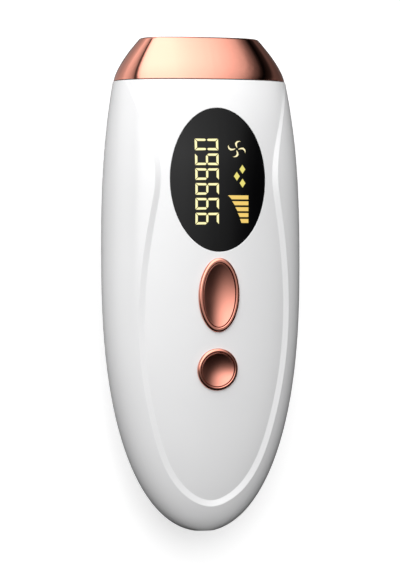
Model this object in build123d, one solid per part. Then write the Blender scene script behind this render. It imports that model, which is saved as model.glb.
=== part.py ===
"""A hand-held light-pulse hair remover, lying on its back.

+X is the user's right, +Y runs up the tool to its lamp head, +Z comes out of its front.
The origin is under the middle of the tool, on the surface that it lies on. Millimetres.
"""

import math
import os

from build123d import *

PARTS_FOLDER = "parts"

# ---- driving dimensions -------------------------------------------------------------------
LENGTH = 185.0  # tail to light window
TAIL_Y = -LENGTH / 2
HEAD_Y = LENGTH / 2
SEAM_Y = 76.1  # where the lamp head meets the casing
PARTING_Z = 22.0  # the plane that splits the front shell from the rear shell

WIDEST_Y = 9.0
FRONT_CREST_Y = 36.0
BACK_CREST_Y = 5.0
HALF_WIDTH = 38.3
FRONT_RISE = 23.6  # crown of the front above the parting plane
BACK_DROP = 22.6  # crown of the back below it, before the rest flat is cut
TAIL_HALF_WIDTH = 4.1  # the small flat round the charging socket
TAIL_HALF_DEPTH = 4.1
FRONT_FULLNESS = 0.66  # a section's curve handle: 0.5523 is a true ellipse, and more is squarer
BACK_FULLNESS = 0.62

WALL = 2.2
FRONT_WALL = 2.0
INNER_TAIL_Y = -87.5

PANEL_DEPTH = 1.0  # the front panel lies this far under the shell round it
PANEL_DEPTH_AT_SEAM = 0.15
PANEL_FADE_Y = 35.0  # from here to the seam the panel rises to meet the shell
BAND_HALF = 1.15  # half the width of the sloping band round the panel
BAND_HALF_AT_SEAM = 0.6
PANEL_HALF_OUTLINE = [
    (0.0, -81.8),
    (9.2, -78.2),
    (17.2, -68.2),
    (23.0, -52.0),
    (26.9, -33.0),
    (28.4, -12.0),
    (27.2, 9.0),
    (24.6, 27.0),
    (23.0, 40.0),
    (24.5, 52.0),
    (27.8, 64.0),
    (31.8, 79.0),
]

LENS_RX, LENS_RY = 18.7, 26.7
LENS_Y = 38.7
LENS_SINK = 0.3
LENS_THICK = 1.0
LENS_CLEARANCE = 0.08
VIEW_RX, VIEW_RY = 16.2, 24.2

FIRE_Y = -4.0
FIRE_RING = (8.0, 13.8)
FIRE_CAP = (6.3, 11.9)
POWER_Y = -31.6
POWER_RING = (7.9, 7.9)
POWER_CAP = (6.4, 6.4)
RING_PROUD = 0.85
RING_NECK = 0.7  # how far the ring's flange overhangs its neck
RING_DEPTH = 1.9
CAP_GAP = 0.15
CAP_TOP = 0.55
CAP_DISH = 1.3
DISH_SPREAD = 1.6  # the dish is the foot of an ellipsoid this many times wider
CAP_LIP = 0.25  # from the key's side to the start of its dish
CAP_FLANGE = 0.7
CAP_FLANGE_THICK = 1.2
BUTTON_TRAVEL = 0.5

BOARD_THICK = 1.4
DISPLAY_BOARD_TOP = 32.4
LCD_SEAT = DISPLAY_BOARD_TOP + 2.6
MAIN_BOARD_TOP = 8.0
SWITCH_SIDE, SWITCH_HEIGHT = 6.0, 3.5
PLUNGER_R, PLUNGER_TOP = 1.7, 4.5  # the plunger's top, above the board
PLUNGER_GAP = 0.15

FAN_Y, FAN_SIDE = 41.5, 35.0
FAN_Z0, FAN_Z1 = 6.2, 16.2
FAN_DUCT_R = 16.0
FAN_FRAME_R = 16.4
FAN_HUB_R = 8.0
FAN_BLADES = 7
FAN_SHAFT_R = 1.0
RUNNING_GAP = 0.04

LAMP_Y = 80.6
TUBE_BORE_R = 1.9
GLASS_W, GLASS_H = 34.0, 13.0
GLASS_Y0, GLASS_Y1 = 86.0, 88.2
WINDOW_W, WINDOW_H = 31.0, 10.4
BEZEL_W, BEZEL_H = 36.6, 14.4

SHELL_SCREWS = [(x, y) for y, x0 in ((66.0, 26.5), (-55.0, 19.2)) for x in (-x0, x0)]
SCREW_HEAD_Z = 11.0
MAIN_SCREWS = [(x, y) for y in (-23.5, 14.5) for x in (-19.0, 19.0)]
DISPLAY_SCREWS = [(x, y) for y in (-39.5, 64.5) for x in (-15.5, 15.5)]

CAPACITOR_R = 10.0
CAPACITOR_Y0, CAPACITOR_Y1 = -74.0, -37.0
CAPACITOR_Z = 20.0
CAPACITOR_LEADS = (-7.0, -1.0)
FAN_SCREWS = [(-14.4, FAN_Y - 14.4), (14.4, FAN_Y + 14.4)]

JACK_R, JACK_BORE_R, JACK_PIN_R = 3.4, 2.8, 1.0
JACK_LENGTH = 12.0
JACK_PIN_LENGTH = 8.5

HEAD = Plane(origin=(0, 0, PARTING_Z), x_dir=(1, 0, 0), z_dir=(0, 1, 0))


# ---- small helpers ------------------------------------------------------------------------
def block(x, y, z, dx, dy, dz):
    """A box centred on x, y that stands on z."""
    return Pos(x, y, z + dz / 2) * Box(dx, dy, dz)


def post(x, y, z0, z1, radius):
    """An upright cylinder."""
    return Pos(x, y, (z0 + z1) / 2) * Cylinder(radius, z1 - z0)


def oval(rx, ry, z0, z1):
    """An upright elliptical prism about the local origin."""
    return Pos(0, 0, z0) * extrude(Ellipse(rx, ry), z1 - z0)


def head_prism(width, height, radius, y0, y1):
    """A rounded bar through the lamp head, from y0 to y1."""
    return HEAD * Pos(0, 0, y0) * extrude(RectangleRounded(width, height, radius), y1 - y0)


def head_tube(x, y0, y1, radius):
    """A cylinder along Y at the parting height."""
    return HEAD * Pos(x, 0, (y0 + y1) / 2) * Cylinder(radius, y1 - y0)


def cross_tube(x0, x1, y, z, radius):
    """A cylinder along X."""
    return Pos((x0 + x1) / 2, y, z) * Rot(0, 90, 0) * Cylinder(radius, x1 - x0)


def wire_run(points, radius, bend):
    """A round wire along straight runs joined by arcs."""
    path = FilletPolyline(*points, radius=bend)
    section = Plane(origin=path @ 0, z_dir=path % 0) * Circle(radius)
    return sweep(section, path=path)


def both_sides(solid):
    """A piece and its mirror image across the middle of the tool."""
    return [solid, mirror(solid, about=Plane.YZ)]


def ease(t):
    """0 below 0, 1 above 1, and smooth between."""
    t = min(max(t, 0.0), 1.0)
    return t * t * (3 - 2 * t)


# ---- the casing's form --------------------------------------------------------------------
def egg(y, centre, full, tail_end, tail_power, tail_root, head_loss, head_power):
    """Half extent at y: a superellipse down to the tail, and a slow fall up to the seam."""
    if y < centre:
        share = (tail_end / full) ** tail_root
        reach = (centre - TAIL_Y) / (1 - share) ** (1 / tail_power)
        return full * (1 - ((centre - y) / reach) ** tail_power) ** (1 / tail_root)
    return full * (1 - head_loss * ((y - centre) / (SEAM_Y - centre)) ** head_power)


def plan_half(y):
    return egg(y, WIDEST_Y, HALF_WIDTH, TAIL_HALF_WIDTH, 2.45, 2.1, 0.126, 2.45)


def front_rise(y):
    return egg(y, FRONT_CREST_Y, FRONT_RISE, TAIL_HALF_DEPTH, 1.5, 2.6, 0.25, 2.2)


def back_drop(y):
    return egg(y, BACK_CREST_Y, BACK_DROP, TAIL_HALF_DEPTH, 2.3, 2.3, 0.215, 2.4)


# The power of the superellipse that meets a section's curve halfway round.
FRONT_POWER = math.log(0.5) / math.log((3 * FRONT_FULLNESS + 4) / 8)


def panel_depth(y):
    fade = ease((y - PANEL_FADE_Y) / (SEAM_Y - PANEL_FADE_Y))
    return PANEL_DEPTH + (PANEL_DEPTH_AT_SEAM - PANEL_DEPTH) * fade


def stations(y0, y1):
    """Section places from y0 to y1, closer together where the tail rounds off."""
    bend_y, tail_steps, head_steps = 7.5, 12, 6
    turns = [math.pi / 2 * i / tail_steps for i in range(tail_steps, 0, -1)]
    tail = [bend_y + (TAIL_Y - bend_y) * math.sin(turn) for turn in turns]
    head = [bend_y + (SEAM_Y - bend_y) * i / head_steps for i in range(head_steps + 1)]
    inside = [y for y in tail + head if y0 + 0.5 < y < y1 - 0.5]
    return [y0, *inside, y1]


def arch(y, half, rise, fullness):
    """The two curves that run from one side of the parting plane over the crown to the other."""
    side, crown = half * fullness, rise * fullness
    z = PARTING_Z
    return [
        Bezier((half, y, z), (half, y, z + crown), (side, y, z + rise), (0, y, z + rise)),
        Bezier((0, y, z + rise), (-side, y, z + rise), (-half, y, z + crown), (-half, y, z)),
    ]


def half_casing(rise, fullness, plan_inset, rise_inset, y0=TAIL_Y, y1=SEAM_Y):
    """One half of the casing's form as a solid. rise and the insets are functions of y."""
    wires = []
    for y in stations(y0, y1):
        half = plan_half(y) - plan_inset(y)
        height = rise(y) - math.copysign(rise_inset(y), rise(y))
        base = Line((-half, y, PARTING_Z), (half, y, PARTING_Z))
        wires.append(Wire([*arch(y, half, height, fullness), base]))
    return Solid.make_loft(wires)


def front_form(plan_inset=0.0, rise_inset=0.0, y0=TAIL_Y, y1=SEAM_Y):
    return half_casing(front_rise, FRONT_FULLNESS, lambda y: plan_inset, lambda y: rise_inset, y0, y1)


def panel_form(extra=0.0):
    """The front half sunk to the panel's surface, and by extra below it."""
    def sink(y):
        return panel_depth(y) + extra
    return half_casing(front_rise, FRONT_FULLNESS, sink, sink, TAIL_Y + 4.0)


def back_form(plan_inset=0.0, rise_inset=0.0, y0=TAIL_Y, y1=SEAM_Y):
    return half_casing(
        lambda y: -back_drop(y), BACK_FULLNESS, lambda y: plan_inset, lambda y: rise_inset, y0, y1
    )


def front_height(x, y, sink=0.0):
    """Height of the front surface over the parting plane, sunk by sink."""
    share = min(abs(x) / (plan_half(y) - sink), 0.985)
    return (front_rise(y) - sink) * (1 - share**FRONT_POWER) ** (1 / FRONT_POWER)


def panel_cutter():
    """What is taken out above the front panel, with the sloping band as its wall."""
    half = PANEL_HALF_OUTLINE
    outline = Spline([(-x, y) for x, y in reversed(half[1:])] + half)
    count = 49
    rings = {"top": [], "over": [], "under": [], "bottom": []}
    for i in range(count):
        u = i / (count - 1)
        place, along = outline @ u, outline % u
        fade = ease((place.Y - PANEL_FADE_Y) / (SEAM_Y - PANEL_FADE_Y))
        outward = Vector(along.Y, -along.X, 0) * (BAND_HALF + (BAND_HALF_AT_SEAM - BAND_HALF) * fade)
        rim, foot = place + outward, place - outward
        rim = Vector(rim.X, rim.Y, PARTING_Z + front_height(rim.X, rim.Y))
        foot = Vector(foot.X, foot.Y, PARTING_Z + front_height(foot.X, foot.Y, panel_depth(foot.Y)))
        over, under = rim + (rim - foot) * 0.5, foot - (rim - foot) * 0.5
        rings["top"].append(Vector(over.X, over.Y, 60))
        rings["over"].append(over)
        rings["under"].append(under)
        rings["bottom"].append(Vector(under.X, under.Y, PARTING_Z - 5))
    wires = []
    for points in rings.values():
        curve = Spline(points)
        wires.append(Wire([curve, Line(curve @ 1, curve @ 0)]))
    return Solid.make_loft(wires, ruled=True)


# ---- casing -------------------------------------------------------------------------------
def boss(x, y, z0, z1, radius, casing):
    """A screw boss that grows out of a shell, kept inside the casing's form."""
    return post(x, y, z0, z1, radius) & casing


def on_front(y, sink=0.0):
    """The plane that touches the panel's crown at y, with its z out of the shell."""
    step = 0.5
    low, high = (front_rise(v) - panel_depth(v) for v in (y - step, y + step))
    slope = math.atan2(high - low, 2 * step)
    height = PARTING_Z + front_rise(y) - panel_depth(y) - sink
    return Plane(origin=(0, y, height), x_dir=(1, 0, 0), z_dir=(0, -math.sin(slope), math.cos(slope)))


FIRE_PLANE = on_front(FIRE_Y)
POWER_PLANE = on_front(POWER_Y)


def switch_y(plane):
    """Where a key's axis meets the top of its switch's plunger."""
    drop = plane.origin.Z - DISPLAY_BOARD_TOP - PLUNGER_TOP
    return plane.origin.Y - plane.z_dir.Y / plane.z_dir.Z * drop


def lens_prism(inset, z0, z1):
    return Pos(0, LENS_Y, 0) * oval(LENS_RX - inset, LENS_RY - inset, z0, z1)


def make_front_shell(outer, cavity):
    """The front cover: panel, lens seat, two button holes, screw bosses and board posts."""
    void = panel_cutter() - panel_form()
    skin = outer - void
    shell = skin - cavity
    seat_floor = panel_form(LENS_SINK + LENS_THICK)
    shell -= lens_prism(0, PARTING_Z, 60) - seat_floor
    shell -= Pos(0, LENS_Y, 0) * oval(VIEW_RX, VIEW_RY, PARTING_Z, 60)
    for plane, (rx, ry) in ((FIRE_PLANE, FIRE_RING), (POWER_PLANE, POWER_RING)):
        shell -= plane * oval(rx - RING_NECK + 0.1, ry - RING_NECK + 0.1, -8, 8)
    for x, y in SHELL_SCREWS:
        shell += boss(x, y, PARTING_Z, 60, 3.2, front_form(1.0, 1.6))
        shell -= post(x, y, PARTING_Z - 1, PARTING_Z + 8, 1.05)
    for x, y in DISPLAY_SCREWS:
        shell += boss(x, y, DISPLAY_BOARD_TOP, 60, 2.4, front_form(1.0, 1.6))
        shell -= post(x, y, DISPLAY_BOARD_TOP - 1, DISPLAY_BOARD_TOP + 3.5, 0.8)
    return shell - head_tube(0, TAIL_Y - 1, INNER_TAIL_Y + 1, JACK_R + 0.05)


def make_rear_shell(outer, cavity):
    """The back cover: rest flat, air grille and duct, screw bosses, board posts and capacitor cradle."""
    shell = outer - cavity
    inside = back_form(1.0, 1.0)
    for x, y in SHELL_SCREWS:
        shell += boss(x, y, 0, PARTING_Z, 4.2, inside)
        shell -= post(x, y, -1, SCREW_HEAD_Z, 2.8)
        shell -= post(x, y, -1, PARTING_Z + 1, 1.45)
    for x, y in MAIN_SCREWS:
        shell += boss(x, y, 0, MAIN_BOARD_TOP - BOARD_THICK, 2.4, inside)
        shell -= post(x, y, 3.3, MAIN_BOARD_TOP, 0.8)
    duct = post(0, FAN_Y, 0, FAN_Z0, FAN_DUCT_R + 1.4) - post(0, FAN_Y, -1, FAN_Z0 + 1, FAN_DUCT_R)
    shell += duct & inside
    for x, y in FAN_SCREWS:
        shell += boss(x, y, 0, FAN_Z0, 2.2, inside)
        shell -= post(x, y, 4.0, FAN_Z0 + 1, 0.8)
    for y in (CAPACITOR_Y0 + 8, CAPACITOR_Y1 - 8):
        cradle = block(0, y, 0, 18, 2, 13) - head_tube_at(0, CAPACITOR_Z, y - 2, y + 2, CAPACITOR_R + 0.1)
        shell += cradle & inside
    shell -= air_grille()
    for side in (-1, 1):
        shell -= exhaust_slots(side)
    shell -= head_tube(0, TAIL_Y - 1, INNER_TAIL_Y + 1, JACK_R + 0.05)
    return shell & block(0, 0, 0, 100, LENGTH + 10, PARTING_Z)


def head_tube_at(x, z, y0, y1, radius):
    """A cylinder along Y at any height."""
    return Pos(0, 0, z - PARTING_Z) * head_tube(x, y0, y1, radius)


def air_grille():
    """Parallel slots under the fan, cut to a circle."""
    pitch, width, reach = 3.4, 1.7, FAN_DUCT_R - 1.2
    slots = []
    for i in range(-4, 5):
        y = i * pitch
        length = 2 * math.sqrt(reach * reach - y * y)
        slots.append(Pos(0, FAN_Y + y, -1) * extrude(SlotOverall(length, width), 9))
    return slots


def exhaust_slots(side):
    """A row of slots low on one flank, beside the lamp head."""
    slots = []
    for i in range(6):
        place = Pos(side * 34.5, 41 + i * 3.4, 14.5) * Rot(0, 90, 0)
        slots.append(place * extrude(SlotOverall(7.5, 1.6), 6.5, both=True))
    return slots


def make_display_lens():
    """A smoked oval window that follows the panel's curve, just under its surface."""
    slab = panel_form(LENS_SINK) - panel_form(LENS_SINK + LENS_THICK)
    return slab & lens_prism(LENS_CLEARANCE, PARTING_Z, 60)


def make_button_ring(plane, size, panel):
    """A plated bezel: a rounded flange that lies on the panel and a neck down through the shell."""
    (rx, ry), (cx, cy) = size
    hole = oval(cx + CAP_GAP, cy + CAP_GAP, -RING_DEPTH - 1, RING_PROUD + 1)
    flange = oval(rx, ry, -1.4, RING_PROUD)
    flange = fillet(flange.edges().group_by(Axis.Z)[-1], 0.8) - hole
    flange = fillet(flange.edges().group_by(Axis.Z)[-1].sort_by(lambda e: e.length)[0], 0.25)
    neck = oval(rx - RING_NECK, ry - RING_NECK, -RING_DEPTH, 0) - hole
    return (plane * flange - panel) + plane * neck


def make_button_cap(plane, size):
    """A dished key with a flange that the bezel's neck holds in, and a stem down to its switch."""
    cx, cy = size
    body = oval(cx, cy, -RING_DEPTH - 0.1, CAP_TOP)
    body = chamfer(body.edges().group_by(Axis.Z)[-1], 0.15)
    share = math.sqrt(1 - 1 / DISH_SPREAD**2)
    height = CAP_DISH / (1 - share)
    bowl = scale(Sphere(1.0), by=((cx - CAP_LIP) * DISH_SPREAD, (cy - CAP_LIP) * DISH_SPREAD, height))
    key = body - Pos(0, 0, CAP_TOP + height * share) * bowl
    bottom = -RING_DEPTH - 0.05 - CAP_FLANGE_THICK
    key += oval(cx + CAP_FLANGE, cy + CAP_FLANGE, bottom, -RING_DEPTH - 0.05)
    key += oval(1.5, 1.5, -12, bottom)
    foot = DISPLAY_BOARD_TOP + PLUNGER_TOP
    return plane * key - block(0, plane.origin.Y, foot - 10, 10, 10, 10)


def make_switch(y):
    """A tactile switch's body, with a well for its plunger."""
    body = block(0, y, DISPLAY_BOARD_TOP, SWITCH_SIDE, SWITCH_SIDE, SWITCH_HEIGHT)
    well = post(0, y, DISPLAY_BOARD_TOP + 1.2, DISPLAY_BOARD_TOP + 9, PLUNGER_R + PLUNGER_GAP)
    legs = [block(i * 3.6, y + j * 2.2, DISPLAY_BOARD_TOP, 1.2, 0.8, 0.4) for i in (-1, 1) for j in (-1, 1)]
    body = chamfer(body.edges().filter_by(Axis.Z), 0.4)
    return body - well + legs


def make_plunger(y):
    top = DISPLAY_BOARD_TOP + PLUNGER_TOP
    return chamfer(post(0, y, top - 2.6, top, PLUNGER_R).edges().group_by(Axis.Z)[-1], 0.15)


# ---- display and boards -------------------------------------------------------------------
def drilled(board, places, radius=1.1):
    for x, y in places:
        board -= post(x, y, -1, 60, radius)
    return board


def make_display_board():
    outline = Pos(0, 12.5) * RectangleRounded(38, 110, 4)
    board = Pos(0, 0, DISPLAY_BOARD_TOP - BOARD_THICK) * extrude(outline, BOARD_THICK)
    return drilled(board, DISPLAY_SCREWS)


def make_lcd_backlight():
    """A light box under the display, with a recess for the glass."""
    frame = block(0, LENS_Y, DISPLAY_BOARD_TOP, 30, 42, 3.6)
    return frame - block(0, LENS_Y, LCD_SEAT, 27, 39, 2)


def make_lcd_glass():
    """Two panes, the upper one shorter to bare the contact ledge."""
    lower = block(0, LENS_Y, LCD_SEAT, 26.8, 38.8, 0.9)
    return lower + block(0, LENS_Y + 1.5, LCD_SEAT + 0.9, 26.8, 35.8, 0.9)


def make_display_controller():
    """The flat square chip under the display board."""
    under = DISPLAY_BOARD_TOP - BOARD_THICK
    body = block(0, 12, under - 1.4, 10, 10, 1.2)
    for turn in range(4):
        row = Pos(0, 12, 0) * Rot(0, 0, 90 * turn)
        body += [row * block(i * 0.9, 5.4, under - 0.9, 0.4, 1.6, 0.9) for i in range(-5, 6)]
    return body


def make_main_board():
    outline = Pos(0, -4.5) * RectangleRounded(46, 46, 3)
    board = Pos(0, 0, MAIN_BOARD_TOP - BOARD_THICK) * extrude(outline, BOARD_THICK)
    return drilled(board, MAIN_SCREWS)


def make_transformer_core():
    """Two ferrite E cores, face to face, round the winding."""
    core = block(-9, -14, MAIN_BOARD_TOP + 0.6, 20, 8, 15)
    for side in (-1, 1):
        core -= block(-9 + side * 5.75, -14, MAIN_BOARD_TOP + 3.6, 5.5, 10, 9)
    return core


def make_transformer_winding():
    """A taped coil round the core's middle leg, on its pinned foot."""
    coil = block(-9, -14, MAIN_BOARD_TOP + 3.8, 16.6, 14, 8.6)
    coil = fillet(coil.edges().filter_by(Axis.Z), 2.5)
    coil -= block(-9, -14, MAIN_BOARD_TOP + 1, 6.0, 8.0, 14)
    feet = [block(-9, -14 + j * 6.2, MAIN_BOARD_TOP, 14, 1.6, 4) for j in (-1, 1)]
    return coil + feet


def make_trigger_coil():
    body = block(14, -18, MAIN_BOARD_TOP, 8, 8, 10)
    return fillet(body.edges().group_by(Axis.Z)[-1], 0.8)


def make_heat_sink():
    """A finned aluminium extrusion that stands behind the power transistor."""
    x, width, height = 11.0, 17.0, 16.0
    sink = block(x, 6.5, MAIN_BOARD_TOP, width, 2, height)
    fins = [block(x + (i - 2.5) * 3.2, 10, MAIN_BOARD_TOP, 1.0, 5.4, height) for i in range(6)]
    return sink + fins


def make_power_transistor():
    """A flat-backed three-lead package with its metal tab."""
    x = 11.0
    body = block(x, 3.25, MAIN_BOARD_TOP + 4, 10, 4.5, 9)
    tab = block(x, 4.85, MAIN_BOARD_TOP + 13, 10, 1.3, 5.0)
    tab -= Pos(x, 4.85, MAIN_BOARD_TOP + 15.4) * Rot(90, 0, 0) * Cylinder(1.6, 4)
    leads = [block(x + i * 2.54, 2.6, MAIN_BOARD_TOP, 0.9, 0.6, 4.2) for i in (-1, 0, 1)]
    return body + tab + leads


def make_filter_capacitors():
    cans = []
    for x, y in ((-17.5, 2), (-8.5, 2)):
        can = fillet(post(x, y, MAIN_BOARD_TOP, MAIN_BOARD_TOP + 12, 4).edges().group_by(Axis.Z)[-1], 0.5)
        cans.append(can)
    return Compound(cans)


def make_board_connectors():
    """White wire headers on the main board."""
    places = [(-12.9, 13.5, 7.5), (-5.2, 13.5, 5.0), (17.5, -6.0, 5.0)]
    pieces = []
    for x, y, width in places:
        shell = block(x, y, MAIN_BOARD_TOP, width, 4.6, 5.0)
        shell -= block(x, y, MAIN_BOARD_TOP + 1.2, width - 1.2, 3.0, 5)
        pieces.append(shell)
    return Compound(pieces)


def make_ribbon_cable():
    """A flat cable that folds from the display board down to the main board."""
    x, width, thick = 8.6, 10.0, 0.3
    top = DISPLAY_BOARD_TOP - BOARD_THICK - thick / 2
    low = MAIN_BOARD_TOP + thick / 2
    path = FilletPolyline((x, -22, top), (x, -31, top), (x, -31, low), (x, -24.5, low), radius=3.0)
    section = Plane(origin=path @ 0, x_dir=(1, 0, 0), z_dir=path % 0) * Rectangle(width, thick)
    return sweep(section, path=path)


def make_flash_capacitor():
    """The storage capacitor: a long can with a crimped neck, a scored vent end and two lead tabs."""
    can = head_tube_at(0, CAPACITOR_Z, CAPACITOR_Y0, CAPACITOR_Y1, CAPACITOR_R)
    can = fillet(can.edges().filter_by(GeomType.CIRCLE), 1.0)
    groove_y = CAPACITOR_Y1 - 4
    groove = head_tube_at(0, CAPACITOR_Z, groove_y - 0.7, groove_y + 0.7, CAPACITOR_R + 1)
    can -= groove - head_tube_at(0, CAPACITOR_Z, groove_y - 1, groove_y + 1, CAPACITOR_R - 0.8)
    for x in CAPACITOR_LEADS:
        can += block(x, CAPACITOR_Y1 + 1.4, CAPACITOR_Z - 0.4, 1.6, 3.4, 0.8)
    return can


def make_capacitor_leads():
    """Two short wires from the capacitor's tabs down to the main board."""
    leads = []
    for x in CAPACITOR_LEADS:
        points = [
            (x, CAPACITOR_Y1 + 3.1, CAPACITOR_Z),
            (x, -30, CAPACITOR_Z),
            (x, -25.5, 13),
            (x, -25.5, MAIN_BOARD_TOP),
        ]
        leads.append(wire_run(points, 0.7, 1.6))
    return Compound(leads)


# ---- fan ----------------------------------------------------------------------------------
def make_fan_frame():
    """A square ducted frame with a hub carried on three struts."""
    side, r_duct = FAN_SIDE, FAN_FRAME_R
    frame = block(0, FAN_Y, FAN_Z0, side, side, FAN_Z1 - FAN_Z0)
    frame = fillet(frame.edges().filter_by(Axis.Z), 2.5)
    frame -= post(0, FAN_Y, FAN_Z0 - 1, FAN_Z1 + 1, r_duct)
    for turn in (30, 150, 270):
        strut = Rot(0, 0, turn) * Pos(r_duct / 2 + 1, 0, 0) * Box(r_duct, 2, 1.5)
        frame += Pos(0, FAN_Y, FAN_Z1 - 0.75) * strut - post(0, FAN_Y, 0, 60, 4.0)
    frame += post(0, FAN_Y, FAN_Z1 - 1.5, FAN_Z1, FAN_HUB_R)
    frame += post(0, FAN_Y, FAN_Z0 + 3.2, FAN_Z1 - 1.0, 2.6)
    frame -= post(0, FAN_Y, FAN_Z0 + 2, FAN_Z1 - 1.2, 1.8)
    corners = [(i * 14.4, FAN_Y + j * 14.4) for i in (-1, 1) for j in (-1, 1)]
    return drilled(frame, corners, 1.2)


def make_fan_bearing():
    """The sleeve that the fan's shaft turns in."""
    outer = post(0, FAN_Y, FAN_Z0 + 3.2, FAN_Z1 - 1.2, 1.8)
    return outer - post(0, FAN_Y, FAN_Z0, FAN_Z1, FAN_SHAFT_R + RUNNING_GAP)


def make_fan_coil():
    """Four copper windings round the bearing tube, inside the rotor's cup."""
    coils = []
    for a in (0, 90, 180, 270):
        coil = Pos(0, FAN_Y, FAN_Z0 + 6.0) * Rot(0, 0, a) * Pos(4.3, 0, 0) * Box(3.4, 3.4, 3.6)
        coils.append(fillet(coil.edges(), 0.5))
    return Compound(coils)


def make_fan_rotor():
    """A cup with seven swept blades."""
    z0, z1 = FAN_Z0 + 0.8, FAN_Z1 - 2.3
    rotor = post(0, FAN_Y, z0, z1, FAN_HUB_R) - post(0, FAN_Y, z0 + 1.6, z1 + 1, FAN_HUB_R - 1.0)
    rotor += post(0, FAN_Y, z0 + 1.0, z0 + 2.0, 2.2)
    rotor -= post(0, FAN_Y, z0 + 0.4, z1, FAN_SHAFT_R)
    blade = Pos(11.7, 0, (z0 + z1) / 2) * Rot(38, 0, 0) * Box(8.0, 8.6, 0.9)
    keep = post(0, 0, z0 + 0.2, z1 - 0.2, 15.8) - post(0, 0, z0, z1, FAN_HUB_R - 0.4)
    blade = blade & keep
    for i in range(FAN_BLADES):
        rotor += Pos(0, FAN_Y, 0) * Rot(0, 0, i * 360 / FAN_BLADES) * blade
    return rotor


def make_fan_shaft():
    return post(0, FAN_Y, FAN_Z0 + 1.2, FAN_Z1 - 1.4, FAN_SHAFT_R)


# ---- lamp head ----------------------------------------------------------------------------
HEAD_HALF_W, HEAD_FRONT, HEAD_BACK = 33.2, 17.4, 17.4
TOP_HALF_W, TOP_HALF_H = 22.9, 9.9
TOP_FULLNESS = 0.66
HEAD_CURVE = 1.45  # more keeps the head broad for longer
SHROUD_WALL = 1.8
SHROUD_Y0 = SEAM_Y + 0.3


def head_section(y, inset):
    """The lamp head's outline at y, wholly in that plane."""
    s = min(max((y - SEAM_Y) / (HEAD_Y - SEAM_Y), 0.0), 1.0)
    shrink = s**HEAD_CURVE
    half = HEAD_HALF_W + (TOP_HALF_W - HEAD_HALF_W) * shrink - inset
    rise = HEAD_FRONT + (TOP_HALF_H - HEAD_FRONT) * shrink - inset
    drop = HEAD_BACK + (TOP_HALF_H - HEAD_BACK) * shrink - inset
    front_round = FRONT_FULLNESS + (TOP_FULLNESS - FRONT_FULLNESS) * s
    back_round = BACK_FULLNESS + (TOP_FULLNESS - BACK_FULLNESS) * s
    return Wire([*arch(y, half, rise, front_round), *arch(y, half, -drop, back_round)])


def head_form(inset, y0, y1, steps=8):
    ys = [y0 + (y1 - y0) * i / steps for i in range(steps + 1)]
    return Solid.make_loft([head_section(y, inset) for y in ys])


def make_head_shroud():
    """The plated dome, open below and with the light window in its flat top."""
    dome = head_form(0, SHROUD_Y0, HEAD_Y)
    dome = fillet(dome.edges().group_by(Axis.Y)[-1], 1.6)
    dome -= head_form(SHROUD_WALL, SHROUD_Y0 - 0.5, HEAD_Y - SHROUD_WALL)
    return dome - head_prism(BEZEL_W + 0.1, BEZEL_H + 0.1, 3.05, HEAD_Y - 5, HEAD_Y + 1)


def make_window_bezel():
    """The frame round the light window."""
    bezel = head_prism(BEZEL_W, BEZEL_H, 3, GLASS_Y1 + 0.4, HEAD_Y - 0.2)
    bezel -= head_prism(WINDOW_W, WINDOW_H, 2, GLASS_Y1, HEAD_Y + 1)
    bezel = chamfer(bezel.edges().group_by(Axis.Y)[-1].sort_by(Axis.X), 0.3)
    for x in (-1, 1):
        bezel -= contact(x, 0.0)
    return bezel


def contact(side, inset):
    """One skin contact strip at an end of the window."""
    strip = head_prism(1.3 - inset, 8.0 - inset, 0.6 - inset / 2, HEAD_Y - 1.4, HEAD_Y - 0.05)
    return Pos(side * 17.0, 0, 0) * strip


def make_skin_contacts():
    return Compound([contact(side, 0.02) for side in (-1, 1)])


def make_filter_gasket():
    ring = head_prism(GLASS_W, GLASS_H, 1.5, GLASS_Y1, GLASS_Y1 + 0.4)
    return ring - head_prism(WINDOW_W, WINDOW_H, 1.5, GLASS_Y1 - 1, GLASS_Y1 + 1)


def make_filter_glass():
    return head_prism(GLASS_W, GLASS_H, 1.0, GLASS_Y0, GLASS_Y1)


def make_reflector():
    """A bent, polished trough that throws the flash forward."""
    width, depth, mouth, sheet = 31.0, 8.6, 5.2, 0.6
    mouth_y = GLASS_Y0 - 0.3
    profile = Plane(origin=(-width / 2, mouth_y, PARTING_Z), x_dir=(0, 0, 1), z_dir=(1, 0, 0))
    outer = profile * Ellipse(mouth + sheet, depth + sheet)
    inner = profile * Ellipse(mouth, depth)
    trough = extrude(outer - inner, width)
    trough &= Pos(0, mouth_y - 10, PARTING_Z) * Box(width, 20, 20)
    return trough


def make_flash_tube():
    """The quartz lamp's tube, open at the ends where its electrodes seal it."""
    return cross_tube(-24, 24, LAMP_Y, PARTING_Z, 2.6) - cross_tube(-25, 25, LAMP_Y, PARTING_Z, TUBE_BORE_R)


def make_tube_electrodes():
    """A plug, an inner tip and an outer pin at each end of the lamp."""
    runs = [(17.0, 19.0, 1.3), (19.0, 24.0, TUBE_BORE_R), (24.0, 27.0, 0.8)]
    electrode = cross_tube(runs[0][0], runs[0][1], LAMP_Y, PARTING_Z, runs[0][2])
    for x0, x1, radius in runs[1:]:
        electrode += cross_tube(x0, x1, LAMP_Y, PARTING_Z, radius)
    return Compound(both_sides(electrode))


def make_tube_holders():
    """Soft blocks that carry the ends of the lamp."""
    holders = []
    for side in (-1, 1):
        holder = block(side * 21.4, LAMP_Y, PARTING_Z - 5, 3.4, 8, 10)
        holder = fillet(holder.edges().filter_by(Axis.X), 1.5)
        holders.append(holder - cross_tube(-30, 30, LAMP_Y, PARTING_Z, 2.6))
    return Compound(holders)


def make_trigger_wire():
    """Bare wire wrapped round the lamp in a few turns."""
    turns = []
    for i in range(5):
        ring = Pos(-12 + i * 6, LAMP_Y, PARTING_Z) * Rot(0, 90, 0) * Torus(2.85, 0.22)
        turns.append(ring)
    return Compound(turns)


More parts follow.
